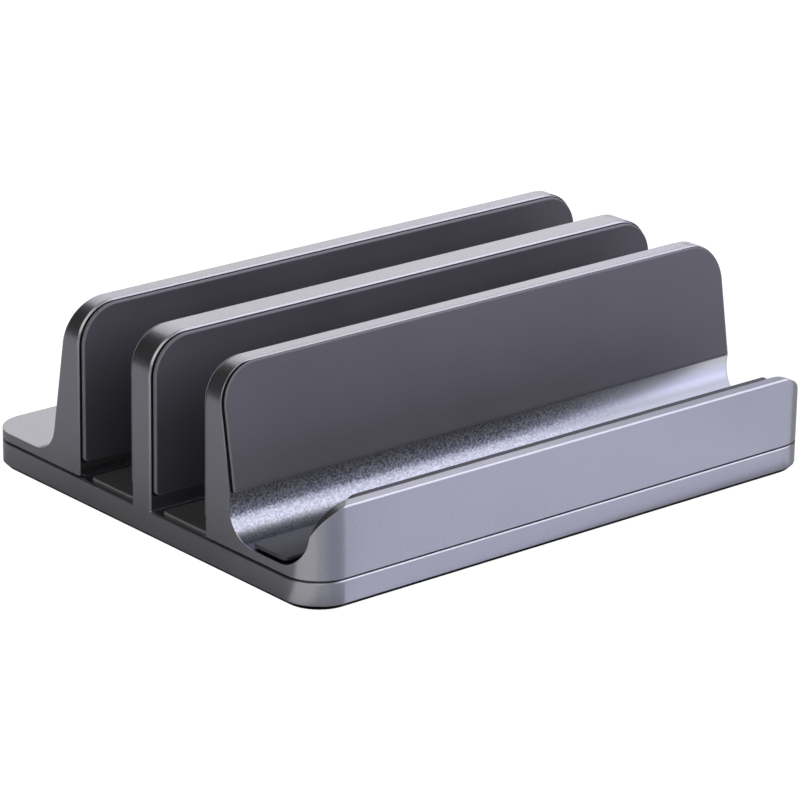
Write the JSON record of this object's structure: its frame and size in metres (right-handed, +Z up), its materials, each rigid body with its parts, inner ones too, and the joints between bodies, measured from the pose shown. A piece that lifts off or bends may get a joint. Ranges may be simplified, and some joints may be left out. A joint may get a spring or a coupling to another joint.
{
  "type": "vertical laptop stand",
  "caption": "Low aluminium desk stand with upright padded walls that hold closed laptops on edge, and a padded front tray with a lip for a phone or tablet; outer walls slide to set the slots.",
  "frame": {"origin": "under the centre of the base, at the height of the feet's bottom faces", "axes": "+X along the laptop slots to the right, +Y from the phone tray to the rear flange, +Z up"},
  "size_m": [0.2, 0.161, 0.0643],
  "materials": {
    "anodised_aluminium": "bead-blasted and anodised space grey",
    "silicone": "satin dark grey",
    "steel": "zinc plated"
  },
  "bodies": {
    "base": {"base_with_divider": "anodised_aluminium", "divider_rear_pad": "silicone", "divider_front_pad": "silicone", "rear_slot_floor_pad": "silicone", "front_slot_floor_pad": "silicone", "foot_front_left": "silicone", "foot_front_right": "silicone", "foot_rear_left": "silicone", "foot_rear_right": "silicone"},
    "rear_bracket": {"rear_bracket": "anodised_aluminium", "rear_wall_pad": "silicone", "rear_screws": "steel", "rear_washers": "steel"},
    "front_tray": {"front_tray": "anodised_aluminium", "front_wall_rear_pad": "silicone", "front_wall_front_pad": "silicone", "tray_floor_pad": "silicone", "lip_pad": "silicone", "front_screws": "steel", "front_washers": "steel"}
  },
  "joints": [
    {"name": "rear_bracket_slide", "type": "slide", "parent": "base", "child": "rear_bracket", "axis": [0, -1, 0], "range_m": [0, 0.004]},
    {"name": "front_tray_slide", "type": "slide", "parent": "base", "child": "front_tray", "axis": [0, -1, 0], "range_m": [0, 0.004]}
  ]
}
